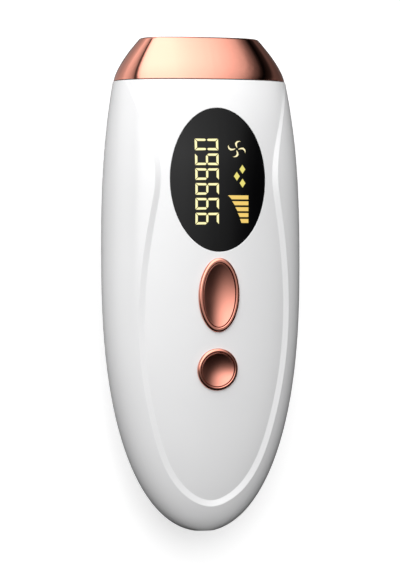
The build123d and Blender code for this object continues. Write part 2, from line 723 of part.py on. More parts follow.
def make_lamp_carrier():
    """The moulding that joins the head to the casing and holds lamp, reflector and glass."""
    plate = head_form(SHROUD_WALL + 0.2, SHROUD_Y0, SHROUD_Y0 + 2.2, 2)
    spigot = spigot_form(WALL + 0.3) - spigot_form(WALL + 1.6)
    carrier = plate + spigot + head_prism(39.4, 16.6, 4.0, SHROUD_Y0, GLASS_Y1 + 0.4)
    carrier -= head_prism(GLASS_W + 0.1, GLASS_H + 0.1, 1.05, GLASS_Y0, GLASS_Y1 + 1)
    carrier -= head_prism(31.4, 12.4, 1.0, SEAM_Y - 6, GLASS_Y0 + 1)
    for side in (-1, 1):
        carrier -= block(side * 21.4, LAMP_Y, PARTING_Z - 5.05, 13, 8.1, 10.1)
        carrier -= head_tube(side * 27.0, SEAM_Y - 5, SEAM_Y + 6, 1.6)
    return carrier


def spigot_form(inset):
    """The stub that plugs into the casing's open end."""
    front = front_form(inset, inset, SEAM_Y - 3.1, SEAM_Y)
    back = back_form(inset, inset, SEAM_Y - 3.1, SEAM_Y)
    stub = front + back
    return stub + Pos(0, SHROUD_Y0 - SEAM_Y, 0) * stub


# ---- charging socket, wiring and fasteners ------------------------------------------------
def make_jack_body():
    """The charging socket's barrel, held between the two shells."""
    body = head_tube(0, TAIL_Y, TAIL_Y + JACK_LENGTH, JACK_R)
    body += block(0, TAIL_Y + 9.0, PARTING_Z - 4.5, 9, 6, 9)
    return body - head_tube(0, TAIL_Y - 1, TAIL_Y + JACK_PIN_LENGTH + 1, JACK_BORE_R)


def make_jack_pin():
    pin = head_tube(0, TAIL_Y + 1.0, TAIL_Y + 1.0 + JACK_PIN_LENGTH, JACK_PIN_R)
    return chamfer(pin.edges().group_by(Axis.Y)[0], 0.3)


def make_jack_terminals():
    back = TAIL_Y + JACK_LENGTH
    return Compound([block(x, back + 1.0, PARTING_Z - 0.3, 1.6, 2.0, 0.6) for x in (-2.6, 2.6)])


def make_charge_leads():
    """Two wires from the socket, round the storage capacitor, to the main board."""
    start = TAIL_Y + JACK_LENGTH + 2.0
    points = [
        (2.6, start, PARTING_Z),
        (2.6, -76.6, PARTING_Z),
        (12.0, -76.2, 21.0),
        (12.0, -66.0, 14.0),
        (12.0, -48.0, 12.6),
        (15.4, -36.0, 11.5),
        (15.4, -25.5, 11.0),
        (15.4, -25.5, MAIN_BOARD_TOP),
    ]
    return Compound(both_sides(wire_run(points, 0.65, 1.0)))


def make_lamp_leads():
    """Two wires from the lamp's ends, past the fan, to the main board."""
    points = [
        (27.0, LAMP_Y - 0.8, PARTING_Z),
        (27.0, 73.4, PARTING_Z),
        (19.4, 71.0, PARTING_Z),
        (19.4, 60.0, 21.0),
        (21.2, 24.0, 18.0),
        (21.2, 8.4, 12.0),
        (21.2, 8.4, MAIN_BOARD_TOP),
    ]
    return Compound(both_sides(wire_run(points, 0.9, 1.9)))


def make_fan_leads():
    """Two thin wires from the fan's frame into a header on the main board."""
    route = [(FAN_Y - FAN_SIDE / 2, 9.5), (20.5, 9.5), (20.5, 15.5), (13.5, 15.5), (13.5, 9.2)]
    leads = []
    for x in (-6.0, -4.4):
        leads.append(wire_run([(x, y, z) for y, z in route], 0.5, 1.5))
    return Compound(leads)


def screw(x, y, head_z, length, radius, up=1):
    """A round-headed screw; up is 1 where its point is above its head, -1 where it is below."""
    head_r, head_h = radius * 1.9, radius * 1.3
    z0, z1 = sorted((head_z, head_z + up * length))
    shank = post(x, y, z0, z1, radius)
    h0, h1 = sorted((head_z, head_z - up * head_h))
    head = post(x, y, h0, h1, head_r)
    outer = head.edges().filter_by(GeomType.CIRCLE).group_by(Axis.Z)[0 if up > 0 else -1]
    head = fillet(outer, radius * 0.4)
    slot_z = h0 if up > 0 else h1
    for turn in (0, 90):
        head -= Pos(x, y, slot_z) * Rot(0, 0, turn) * Box(radius * 2.4, radius * 0.5, radius * 1.1)
    return head + shank


def make_shell_screws():
    return Compound([screw(x, y, SCREW_HEAD_Z, 17, 1.04) for x, y in SHELL_SCREWS])


def make_fan_screws():
    return Compound([screw(x, y, FAN_Z1, 12, 0.79, up=-1) for x, y in FAN_SCREWS])


def make_board_screws():
    below = [screw(x, y, MAIN_BOARD_TOP, 4.5, 0.79, up=-1) for x, y in MAIN_SCREWS]
    above = [screw(x, y, DISPLAY_BOARD_TOP - BOARD_THICK, 4.5, 0.79) for x, y in DISPLAY_SCREWS]
    return Compound(below + above)


# ---- the whole tool -----------------------------------------------------------------------
def make_parts():
    outer_front = front_form()
    outer_back = back_form()
    front_cavity = half_casing(
        front_rise, FRONT_FULLNESS, lambda y: WALL, lambda y: panel_depth(y) + FRONT_WALL, INNER_TAIL_Y
    )
    back_cavity = back_form(WALL, WALL, INNER_TAIL_Y)
    panel = panel_form()
    fire_switch_y = switch_y(FIRE_PLANE)
    power_switch_y = switch_y(POWER_PLANE)
    return {
        "front_shell": make_front_shell(outer_front, front_cavity),
        "rear_shell": make_rear_shell(outer_back, back_cavity),
        "display_lens": make_display_lens(),
        "fire_button_ring": make_button_ring(FIRE_PLANE, (FIRE_RING, FIRE_CAP), panel),
        "fire_button_cap": make_button_cap(FIRE_PLANE, FIRE_CAP),
        "fire_switch_body": make_switch(fire_switch_y),
        "fire_switch_plunger": make_plunger(fire_switch_y),
        "power_button_ring": make_button_ring(POWER_PLANE, (POWER_RING, POWER_CAP), panel),
        "power_button_cap": make_button_cap(POWER_PLANE, POWER_CAP),
        "power_switch_body": make_switch(power_switch_y),
        "power_switch_plunger": make_plunger(power_switch_y),
        "display_board": make_display_board(),
        "display_controller": make_display_controller(),
        "lcd_backlight": make_lcd_backlight(),
        "lcd_glass": make_lcd_glass(),
        "main_board": make_main_board(),
        "transformer_core": make_transformer_core(),
        "transformer_winding": make_transformer_winding(),
        "trigger_coil": make_trigger_coil(),
        "heat_sink": make_heat_sink(),
        "power_transistor": make_power_transistor(),
        "filter_capacitors": make_filter_capacitors(),
        "board_connectors": make_board_connectors(),
        "ribbon_cable": make_ribbon_cable(),
        "flash_capacitor": make_flash_capacitor(),
        "capacitor_leads": make_capacitor_leads(),
        "fan_frame": make_fan_frame(),
        "fan_bearing": make_fan_bearing(),
        "fan_coil": make_fan_coil(),
        "fan_rotor": make_fan_rotor(),
        "fan_shaft": make_fan_shaft(),
        "fan_leads": make_fan_leads(),
        "fan_screws": make_fan_screws(),
        "head_shroud": make_head_shroud(),
        "window_bezel": make_window_bezel(),
        "skin_contacts": make_skin_contacts(),
        "filter_gasket": make_filter_gasket(),
        "filter_glass": make_filter_glass(),
        "reflector": make_reflector(),
        "flash_tube": make_flash_tube(),
        "tube_electrodes": make_tube_electrodes(),
        "tube_holders": make_tube_holders(),
        "trigger_wire": make_trigger_wire(),
        "lamp_carrier": make_lamp_carrier(),
        "dc_socket_body": make_jack_body(),
        "dc_socket_pin": make_jack_pin(),
        "dc_socket_terminals": make_jack_terminals(),
        "charge_leads": make_charge_leads(),
        "lamp_leads": make_lamp_leads(),
        "shell_screws": make_shell_screws(),
        "board_screws": make_board_screws(),
    }


def main():
    os.makedirs(PARTS_FOLDER, exist_ok=True)
    for node, shape in make_parts().items():
        export_step(shape, os.path.join(PARTS_FOLDER, node + ".step"))


if __name__ == "__main__":
    main()
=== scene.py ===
"""Dresses the hair remover: plastics, plating, display, circuit boards and lamp, and its studio."""

import math

import bmesh
import bpy
from bpy.props import FloatProperty, FloatVectorProperty, PointerProperty, StringProperty
from bpy.types import Operator, Panel, PropertyGroup
from mathutils import Matrix, Vector
from mathutils.bvhtree import BVHTree


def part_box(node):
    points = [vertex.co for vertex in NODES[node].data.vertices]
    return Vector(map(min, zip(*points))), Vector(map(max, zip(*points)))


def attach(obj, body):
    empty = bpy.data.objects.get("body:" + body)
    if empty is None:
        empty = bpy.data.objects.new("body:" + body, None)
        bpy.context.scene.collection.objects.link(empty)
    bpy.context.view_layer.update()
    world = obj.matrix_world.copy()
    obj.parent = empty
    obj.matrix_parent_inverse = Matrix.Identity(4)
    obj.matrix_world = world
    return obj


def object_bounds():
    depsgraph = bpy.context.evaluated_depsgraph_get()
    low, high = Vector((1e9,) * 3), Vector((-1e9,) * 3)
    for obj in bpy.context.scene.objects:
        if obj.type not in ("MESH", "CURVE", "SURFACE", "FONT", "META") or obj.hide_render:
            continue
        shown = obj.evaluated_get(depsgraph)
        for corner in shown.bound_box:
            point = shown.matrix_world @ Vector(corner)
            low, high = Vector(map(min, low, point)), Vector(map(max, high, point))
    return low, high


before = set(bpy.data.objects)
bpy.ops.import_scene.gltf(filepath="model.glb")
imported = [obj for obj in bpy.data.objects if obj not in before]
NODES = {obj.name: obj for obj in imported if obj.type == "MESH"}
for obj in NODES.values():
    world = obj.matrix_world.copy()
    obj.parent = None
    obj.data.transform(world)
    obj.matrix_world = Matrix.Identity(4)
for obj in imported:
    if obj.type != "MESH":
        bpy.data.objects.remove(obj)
CAD_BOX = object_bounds()

bl_info = {
    "name": "Hair remover dressing",
    "version": (1, 0, 0),
    "blender": (4, 5, 0),
    "location": "3D View > Sidebar > Hair Remover",
    "description": "Materials, display figures and studio for a light-pulse hair remover",
    "category": "Object",
}


# ---- node trees ---------------------------------------------------------------------------
def add(tree, kind, **settings):
    """A new node, with its properties and its sockets' values set by name."""
    node = tree.nodes.new(kind)
    for name, value in settings.items():
        if hasattr(node, name):
            setattr(node, name, value)
        else:
            node.inputs[name.replace("_", " ").title()].default_value = value
    return node


def put(tree, node, **sources):
    """Joins each named input of a node to an output socket, or sets it to a plain value."""
    for name, source in sources.items():
        index = int(name[1:]) if name[0] == "i" and name[1:].isdigit() else name.replace("_", " ").title()
        if isinstance(source, bpy.types.NodeSocket):
            tree.links.new(source, node.inputs[index])
        else:
            node.inputs[index].default_value = source
    return node


def maths(tree, operation, first, second=None):
    node = add(tree, "ShaderNodeMath", operation=operation)
    put(tree, node, i0=first)
    if second is not None:
        put(tree, node, i1=second)
    return node.outputs[0]


def remap(tree, value, low, high, to_low=0.0, to_high=1.0):
    node = add(tree, "ShaderNodeMapRange")
    put(tree, node, Value=value, From_Min=low, From_Max=high, To_Min=to_low, To_Max=to_high)
    return node.outputs["Result"]


def blend_colours(tree, factor, first, second, mode="MIX"):
    node = add(tree, "ShaderNodeMix", data_type="RGBA", blend_type=mode)
    put(tree, node, i0=factor, i6=first, i7=second)
    return node.outputs[2]


def object_place(tree):
    return add(tree, "ShaderNodeTexCoord").outputs["Object"]


def noise(tree, place, scale, detail=3.0):
    node = add(tree, "ShaderNodeTexNoise", detail=detail)
    return put(tree, node, Vector=place, Scale=scale).outputs["Fac"]


def effect(name, inputs, outputs):
    """An empty node group with named sockets, and its input and output nodes."""
    tree = bpy.data.node_groups.new(name, "ShaderNodeTree")
    for label, kind, default in inputs:
        socket = tree.interface.new_socket(label, in_out="INPUT", socket_type=kind)
        socket.default_value = default
    for label, kind in outputs:
        tree.interface.new_socket(label, in_out="OUTPUT", socket_type=kind)
    return tree, add(tree, "NodeGroupInput").outputs, add(tree, "NodeGroupOutput").inputs


FLOAT, COLOUR = "NodeSocketFloat", "NodeSocketColor"


def moulded_skin_effect():
    """Slow drift of tone and gloss over a moulding, with a faint ripple in its surface."""
    tree, given, made = effect(
        "Moulded Skin",
        [
            ("Colour", COLOUR, (0.8, 0.8, 0.8, 1)),
            ("Drift", FLOAT, 0.03),
            ("Gloss Low", FLOAT, 0.2),
            ("Gloss High", FLOAT, 0.3),
            ("Grain", FLOAT, 900.0),
        ],
        [("Colour", COLOUR), ("Roughness", FLOAT), ("Height", FLOAT)],
    )
    place = object_place(tree)
    broad = noise(tree, place, 38.0, 2.0)
    grain = noise(tree, place, given["Grain"], 2.0)
    shade = maths(tree, "MULTIPLY", remap(tree, broad, 0.3, 0.7), given["Drift"])
    darker = blend_colours(tree, shade, given["Colour"], (0.0, 0.0, 0.0, 1))
    tree.links.new(darker, made["Colour"])
    fine = noise(tree, place, 260.0, 4.0)
    gloss = remap(tree, fine, 0.35, 0.65, given["Gloss Low"], given["Gloss High"])
    tree.links.new(gloss, made["Roughness"])
    tree.links.new(grain, made["Height"])
    return tree


def handling_effect():
    """The faint haze that fingers leave on a polished surface."""
    tree, given, made = effect(
        "Handling Haze",
        [("Clean", FLOAT, 0.04), ("Hazed", FLOAT, 0.14), ("Size", FLOAT, 60.0), ("Cover", FLOAT, 0.5)],
        [("Roughness", FLOAT), ("Mask", FLOAT)],
    )
    place = object_place(tree)
    patch = noise(tree, place, given["Size"])
    edge = maths(tree, "SUBTRACT", 1.0, given["Cover"])
    soft = remap(tree, patch, edge, maths(tree, "ADD", edge, 0.18))
    ridges = add(tree, "ShaderNodeTexWave", scale=900.0, distortion=6.0, detail=2.0)
    tree.links.new(place, ridges.inputs["Vector"])
    mask = maths(tree, "MULTIPLY", soft, remap(tree, ridges.outputs["Fac"], 0.0, 1.0, 0.55, 1.0))
    tree.links.new(remap(tree, mask, 0.0, 1.0, given["Clean"], given["Hazed"]), made["Roughness"])
    tree.links.new(mask, made["Mask"])
    return tree


def edge_wear_effect():
    """Lighter, rubbed tone along convex edges."""
    tree, given, made = effect(
        "Edge Wear",
        [
            ("Colour", COLOUR, (0.5, 0.5, 0.5, 1)),
            ("Worn", COLOUR, (0.8, 0.8, 0.8, 1)),
            ("Amount", FLOAT, 0.5),
        ],
        [("Colour", COLOUR), ("Mask", FLOAT)],
    )
    edge = add(tree, "ShaderNodeNewGeometry").outputs["Pointiness"]
    broken = noise(tree, object_place(tree), 700.0, 4.0)
    mask = maths(tree, "MULTIPLY", remap(tree, edge, 0.52, 0.6), remap(tree, broken, 0.35, 0.6))
    mask = maths(tree, "MULTIPLY", mask, given["Amount"])
    tree.links.new(blend_colours(tree, mask, given["Colour"], given["Worn"]), made["Colour"])
    tree.links.new(mask, made["Mask"])
    return tree


def crevice_grime_and_shade_effect():
    """Dust tint over painted shade: darker where surfaces meet, by ambient occlusion, broken by speckle."""
    tree, given, made = effect(
        "Crevice Grime And Shade",
        [
            ("Colour", COLOUR, (0.5, 0.5, 0.5, 1)),
            # Colour that the crevices darken towards, under painted shade.
            ("Dust", COLOUR, (0.4, 0.37, 0.34, 1)),
            ("Amount", FLOAT, 0.3),
            ("Reach", FLOAT, 0.0015),
        ],
        [("Colour", COLOUR), ("Mask", FLOAT)],
    )
    crevice = add(tree, "ShaderNodeAmbientOcclusion", samples=8)
    tree.links.new(given["Reach"], crevice.inputs["Distance"])
    speckle = noise(tree, object_place(tree), 1500.0, 5.0)
    # Painted shade: the ambient occlusion mask darkens the colour in crevices and seams.
    crevice_shade = remap(tree, crevice.outputs["AO"], 0.75, 0.25)
    mask = maths(tree, "MULTIPLY", crevice_shade, remap(tree, speckle, 0.3, 0.7, 0.4, 1.0))
    mask = maths(tree, "MULTIPLY", mask, given["Amount"])
    tree.links.new(blend_colours(tree, mask, given["Colour"], given["Dust"]), made["Colour"])
    tree.links.new(mask, made["Mask"])
    return tree


EFFECTS = {}


def place_effect(tree, key, **sources):
    """Puts one of the shared effects into a material, building it the first time."""
    builders = {
        "skin": moulded_skin_effect,
        "haze": handling_effect,
        "wear": edge_wear_effect,
        "dust": crevice_grime_and_shade_effect,
    }
    if key not in EFFECTS:
        EFFECTS[key] = builders[key]()
    node = add(tree, "ShaderNodeGroup", node_tree=EFFECTS[key])
    put(tree, node, **sources)
    return node.outputs


def rgba(colour):
    return (*colour[:3], 1.0)


# ---- materials ----------------------------------------------------------------------------
def start(name, **constants):
    """A material with one Principled shader, whose plain values are set on its own sockets."""
    material = bpy.data.materials.new(name)
    material.use_nodes = True
    shader = material.node_tree.nodes["Principled BSDF"]
    put(material.node_tree, shader, **{k: v for k, v in constants.items() if k != "ior"})
    if "ior" in constants:
        shader.inputs["IOR"].default_value = constants["ior"]
    return material, material.node_tree, shader


def bump(tree, shader, height, strength, distance, soft_edge=0.0):
    """Surface relief, over edges that are rounded in the shading where soft_edge is more than 0."""
    node = add(tree, "ShaderNodeBump")
    put(tree, node, Strength=strength, Distance=distance, Height=height)
    if soft_edge > 0:
        rounded = add(tree, "ShaderNodeBevel", samples=8)
        put(tree, rounded, Radius=soft_edge)
        tree.links.new(rounded.outputs["Normal"], node.inputs["Normal"])
    tree.links.new(node.outputs["Normal"], shader.inputs["Normal"])


def moulded_plastic(
    name, colour, gloss=(0.35, 0.5), grain=900.0, relief=0.3, drift=0.08, soft_edge=0.0, dust=0.15, **constants
):
    """A moulded plastic with its drift of tone and its surface texture. Dust tint and painted shade gather in
    its crevices.
    """
    material, tree, shader = start(name, **constants)
    skin = place_effect(
        tree, "skin", Colour=rgba(colour), Drift=drift, Gloss_Low=gloss[0], Gloss_High=gloss[1], Grain=grain
    )
    # Tint with painted shade in the crevices, by ambient occlusion.
    tinted_and_shaded = place_effect(tree, "dust", Colour=skin["Colour"], Amount=dust)
    tree.links.new(tinted_and_shaded["Colour"], shader.inputs["Base Color"])
    tree.links.new(skin["Roughness"], shader.inputs["Roughness"])
    bump(tree, shader, skin["Height"], relief, 0.00002, soft_edge)
    return material


def plated_metal(name, colour, clean=0.05, hazed=0.12, soft_edge=0.0002, cover=0.45):
    """Bright plating over plastic, with a trace of handling."""
    material, tree, shader = start(name, metallic=1.0)
    haze = place_effect(tree, "haze", Clean=clean, Hazed=hazed, Size=55.0, Cover=cover)
    skin = place_effect(tree, "skin", Colour=rgba(colour), Drift=0.04, Grain=120.0)
    # Dark tint laid in by ambient occlusion: painted shade in the plating's crevices and seams, with a grimy
    # colour.
    grime_and_shade_tint = (0.12, 0.07, 0.06, 1)
    tinted_and_shaded = place_effect(tree, "dust", Colour=skin["Colour"], Dust=grime_and_shade_tint, Amount=0.5, Reach=0.0006)
    tree.links.new(tinted_and_shaded["Colour"], shader.inputs["Base Color"])
    tree.links.new(haze["Roughness"], shader.inputs["Roughness"])
    bump(tree, shader, skin["Height"], 0.05, 0.00002, soft_edge)
    return material


def worn_metal(name, colour, roughness=(0.2, 0.35), stretch=(1.0, 1.0, 1.0), soft_edge=0.0001):
    """A bare metal with fine tooling lines, rubbed brighter at its edges."""
    material, tree, shader = start(name, metallic=1.0)
    mapping = add(tree, "ShaderNodeMapping")
    put(tree, mapping, Vector=object_place(tree), Scale=stretch)
    lines = noise(tree, mapping.outputs["Vector"], 1800.0, 3.0)
    worn = place_effect(tree, "wear", Colour=rgba(colour), Worn=(0.95, 0.95, 0.95, 1), Amount=0.5)
    depth = remap(tree, lines, 0.3, 0.7, 0.0, 0.18)
    shaded = blend_colours(tree, depth, worn["Colour"], (0.1, 0.1, 0.1, 1))
    tree.links.new(shaded, shader.inputs["Base Color"])
    tree.links.new(remap(tree, lines, 0.3, 0.7, *roughness), shader.inputs["Roughness"])
    bump(tree, shader, lines, 0.15, 0.00001, soft_edge)
    return material


def clear_glass(name, colour, roughness=0.03, ior=1.48):
    """Glass with a trace of haze on its surface."""
    material, tree, shader = start(name, ior=ior)
    put(tree, shader, Metallic=0.0)
    shader.inputs["Transmission Weight"].default_value = 1.0
    haze = place_effect(tree, "haze", Clean=roughness, Hazed=roughness + 0.05, Size=90.0, Cover=0.4)
    clouding = maths(tree, "MULTIPLY", haze["Mask"], 0.06)
    tint = blend_colours(tree, clouding, rgba(colour), (0.6, 0.6, 0.6, 1))
    tree.links.new(tint, shader.inputs["Base Color"])
    tree.links.new(haze["Roughness"], shader.inputs["Roughness"])
    return material


def dress(material, *names):
    """Gives one material to CAD nodes."""
    for name in names:
        data = NODES[name].data
        data.materials.clear()
        data.materials.append(material)


# ---- display figures ----------------------------------------------------------------------
# Lit shapes are cut across at this pitch, so that they follow the window's curve.
CUT_PITCH, CUT_MARGIN = 0.0008, 0.0002
WELL_ABOVE = 0.1

# Places on the window: x from the tool's middle line, y from the window's middle.
FIGURES_LEFT, FIGURES_FOOT = -0.0093, -0.0166
FIGURE_GAP = 0.00009
FIGURE_RIM, FAN_RIM, MARK_RIM = 0.00013, 0.00008, 0.0001
FAN_PLACE = (0.0071, 0.0114)
DIAMOND_PLACES = ((0.0092, 0.0039), (0.0069, 0.0013), (0.0092, -0.00125))
DIAMOND_HALF_WIDTH, DIAMOND_HALF_HEIGHT = 0.00125, 0.0017
BARS_RIGHT, BARS_TOP, BAR_PITCH, BAR_THICK = 0.0116, -0.00575, 0.00218, 0.00156
# Where each level bar starts, at its upper and its lower edge.
BAR_LEFTS = [(0.0033, 0.0048), (0.0049, 0.0060), (0.0062, 0.0071), (0.0072, 0.0080), (0.0081, 0.0087)]
# One blade of the fan mark from its hub out: x, y and width.
BLADE_SPINE = [
    (0.00010, 0.00050, 0.00025),
    (-0.00020, 0.00140, 0.00060),
    (-0.00022, 0.00210, 0.00080),
    (0.00020, 0.00265, 0.00065),
    (0.00085, 0.00290, 0.00040),
    (0.00150, 0.00285, 0.00008),
]
MARK_STRETCH = Matrix(((1.16, 0), (0, 1.0)))

SEGMENTS_OF = {
    "0": "abcdef",
    "1": "bc",
    "2": "abdeg",
    "3": "abcdg",
    "4": "bcfg",
    "5": "acdfg",
    "6": "acdefg",
    "7": "abc",
    "8": "abcdefg",
    "9": "abcdfg",
}


def segment_outlines(width, height, stroke, gap):
    """The seven bars of one figure, as outlines with u to the figure's right and v to its top."""
    w, h, t, g = width, height, stroke, gap
    top = [(g, h), (w - g, h), (w - t - g, h - t), (t + g, h - t)]
    upper = [
        (w, h - g), (w - t, h - t - g), (w - t, h / 2 + t / 2 + g),
        (w - t / 2, h / 2 + g), (w, h / 2 + t / 2 + g),
    ]
    middle = [
        (t / 2 + g, h / 2), (t + g, h / 2 + t / 2), (w - t - g, h / 2 + t / 2),
        (w - t / 2 - g, h / 2), (w - t - g, h / 2 - t / 2), (t + g, h / 2 - t / 2),
    ]

    def across(points):
        return [(w - u, v) for u, v in points]

    def over(points):
        return [(u, h - v) for u, v in points]

    return {
        "a": top,
        "b": upper,
        "c": over(upper),
        "d": over(top),
        "e": over(across(upper)),
        "f": across(upper),
        "g": middle,
    }


def crescent(spine):
    """A curved blade's outline from its spine, given as x, y and width."""
    left, right = [], []
    for i, (x, y, width) in enumerate(spine):
        before, after = spine[max(i - 1, 0)], spine[min(i + 1, len(spine) - 1)]
        along = Vector((after[0] - before[0], after[1] - before[1])).normalized()
        side = Vector((-along.y, along.x)) * width / 2
        left.append((x + side.x, y + side.y))
        right.append((x - side.x, y - side.y))
    return left + right[::-1]


class DisplayInk:
    """Flat shapes laid on the display window's curve, each with a darker rim."""

    def __init__(self, name, ink, rim, rim_width, lift=0.00004):
        self.bm = bmesh.new()
        self.name, self.ink, self.rim, self.rim_width, self.lift = name, ink, rim, rim_width, lift
        window = NODES["display_lens"].data
        points = [v.co.copy() for v in window.vertices]
        self.window = BVHTree.FromPolygons(points, [tuple(p.vertices) for p in window.polygons])

    def shape(self, outline):
        """Adds one outline of x, y points in metres."""
        patch = bmesh.new()
        face = patch.faces.new([patch.verts.new((x, y, 0)) for x, y in outline])
        face.normal_update()
        if face.normal.z < 0:
            face.normal_flip()
        if self.rim_width > 0:
            rims = bmesh.ops.inset_individual(patch, faces=[face], thickness=self.rim_width)["faces"]
            for part in rims:
                part.material_index = 1
        for axis in (0, 1):
            low = min(v.co[axis] for v in patch.verts)
            high = max(v.co[axis] for v in patch.verts)
            place = low + CUT_PITCH
            while place < high - CUT_MARGIN:
                normal = Vector((1, 0, 0)) if axis == 0 else Vector((0, 1, 0))
                parts = [*patch.verts, *patch.edges, *patch.faces]
                bmesh.ops.bisect_plane(patch, geom=parts, plane_co=normal * place, plane_no=normal)
                place += CUT_PITCH
        copies = {v: self.bm.verts.new(v.co) for v in patch.verts}
        for part in patch.faces:
            self.bm.faces.new([copies[v] for v in part.verts]).material_index = part.material_index
        patch.free()

    def finish(self, body="casing"):
        """Drops the shapes onto the window and hands them over as one piece."""
        for v in self.bm.verts:
            hit = self.window.ray_cast(Vector((v.co.x, v.co.y, WELL_ABOVE)), Vector((0, 0, -1)))[0]
            if hit is None:
                raise RuntimeError("a display shape lies off the display window")
            v.co.z = hit.z + self.lift
        mesh = bpy.data.meshes.new(self.name)
        self.bm.to_mesh(mesh)
        self.bm.free()
        mesh.materials.append(self.ink)
        mesh.materials.append(self.rim)
        mesh.polygons.foreach_set("use_smooth", [True] * len(mesh.polygons))
        piece = bpy.data.objects.new(self.name, mesh)
        bpy.context.scene.collection.objects.link(piece)
        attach(piece, body)


def lit_ink(name, colour):
    """A lit display segment under clear gloss."""
    material, tree, shader = start(name, emission_strength=1.0, roughness=0.25)
    grain = noise(tree, object_place(tree), 2500.0, 2.0)
    lit = blend_colours(tree, remap(tree, grain, 0.35, 0.65, 0.0, 0.1), rgba(colour), (0.5, 0.4, 0.1, 1))
    tree.links.new(lit, shader.inputs["Emission Color"])
    tree.links.new(blend_colours(tree, 0.9, lit, (0.02, 0.02, 0.02, 1)), shader.inputs["Base Color"])
    tree.links.new(remap(tree, grain, 0.3, 0.7, 0.2, 0.3), shader.inputs["Roughness"])
    return material


# ---- settings -----------------------------------------------------------------------------
PAINT = {"subtype": "COLOR", "size": 3, "min": 0, "max": 1}


class CasingSettings(PropertyGroup):
    colour: FloatVectorProperty(
        name="Colour", description="Colour of the white shells",
        default=(0.85, 0.85, 0.855), **PAINT,
    )
    soft_edge: FloatProperty(
        name="Soft edge", description="Radius that edges of the shells are rounded to",
        unit="LENGTH", default=0.0004, min=0,
    )


class PlatingSettings(PropertyGroup):
    colour: FloatVectorProperty(
        name="Colour", description="Colour of the head, rings and keys",
        default=(0.80, 0.335, 0.25), **PAINT,
    )
    polish: FloatProperty(
        name="Roughness", description="Roughness of the clean plating",
        default=0.05, min=0, max=1,
    )
    key_colour: FloatVectorProperty(
        name="Key colour", description="Colour of the keys",
        default=(0.64, 0.26, 0.195), **PAINT,
    )
    satin: FloatProperty(
        name="Key roughness", description="Roughness of the satin keys",
        default=0.3, min=0, max=1,
    )


class DisplaySettings(PropertyGroup):
    figures: StringProperty(
        name="Figures", description="Digits that the counter shows, read towards the lamp head",
        default="999960",
    )
    figure_height: FloatProperty(
        name="Figure height", description="Height of a digit",
        unit="LENGTH", default=0.0091,
    )
    figure_width: FloatProperty(
        name="Figure width", description="Width of a digit",
        unit="LENGTH", default=0.0044,
    )
    figure_pitch: FloatProperty(
        name="Figure pitch", description="Distance from digit to digit",
        unit="LENGTH", default=0.00548,
    )
    stroke: FloatProperty(
        name="Stroke", description="Width of a digit's bars",
        unit="LENGTH", default=0.00098,
    )
    ink: FloatVectorProperty(
        name="Digit colour", description="Colour of the lit digits",
        default=(1.0, 0.93, 0.48), **PAINT,
    )
    level_ink: FloatVectorProperty(
        name="Level colour", description="Colour of the lit level bars",
        default=(0.83, 0.56, 0.13), **PAINT,
    )
    mark_ink: FloatVectorProperty(
        name="Mark colour", description="Colour of the lit diamonds",
        default=(0.74, 0.66, 0.15), **PAINT,
    )
    fan_ink: FloatVectorProperty(
        name="Fan mark colour", description="Colour of the lit fan mark",
        default=(1.0, 0.9, 0.55), **PAINT,
    )
    rim_ink: FloatVectorProperty(
        name="Rim colour", description="Colour along the edges of what is lit",
        default=(0.2, 0.17, 0.03), **PAINT,
    )


class StudioSettings(PropertyGroup):
    tilt: FloatProperty(
        name="Camera tilt", description="Turn of the camera round the tool's length",
        subtype="ANGLE", default=math.radians(18.8),
    )
    roll: FloatProperty(
        name="Camera roll", description="Turn of the camera round its own axis",
        subtype="ANGLE", default=math.radians(-0.43),
    )
    aim: FloatVectorProperty(
        name="Aim", description="Shift of the camera to its right and up",
        subtype="XYZ_LENGTH", size=2, default=(-0.0004, -0.0002),
    )
    distance: FloatProperty(
        name="Camera distance", description="Distance from the tool's middle to the camera",
        unit="LENGTH", default=1.1,
    )
    frame_height: FloatProperty(
        name="Frame height", description="Height that the picture spans at the tool's middle",
        unit="LENGTH", default=0.2148,
    )
    floor: FloatVectorProperty(
        name="Floor", description="Colour of the floor",
        default=(0.7, 0.7, 0.7), **PAINT,
    )
    floor_glow: FloatProperty(
        name="Floor glow", description="How much light the backlit floor gives out",
        default=0.75, min=0,
    )
    light: FloatProperty(
        name="Light", description="Radiance of the studio's brightest softbox",
        default=3.0, min=0,
    )


# ---- operators ----------------------------------------------------------------------------
class HAIR_OT_casing(Operator):
    """Give the shells their glossy white plastic"""

    bl_idname = "hair_remover.casing"
    bl_label = "Casing"

    def execute(self, context):
        look = context.scene.hair_remover_casing
        # Also lays painted shade in the shells' seams and recesses, by ambient occlusion.
        white = moulded_plastic(
            "White gloss plastic", look.colour, gloss=(0.2, 0.26), grain=420.0, relief=0.04, drift=0.02,
            soft_edge=look.soft_edge, dust=0.25, coat_weight=0.5, coat_roughness=0.06, ior=1.5,
        )
        dress(white, "front_shell", "rear_shell")
        return {"FINISHED"}


class HAIR_OT_plating(Operator):
    """Give the head, the rings and the keys their rose-gold plating"""

    bl_idname = "hair_remover.plating"
    bl_label = "Plating"

    def execute(self, context):
        look = context.scene.hair_remover_plating
        dress(plated_metal("Rose gold plating", look.colour, clean=look.polish), "head_shroud")
        dress(
            plated_metal("Rose gold trim", look.colour, clean=look.polish, soft_edge=0.00012),
            "fire_button_ring", "power_button_ring",
        )
        satin = plated_metal(
            "Satin rose gold", look.key_colour, clean=look.satin, hazed=look.satin + 0.06, soft_edge=0.00012
        )
        dress(satin, "fire_button_cap", "power_button_cap")
        return {"FINISHED"}


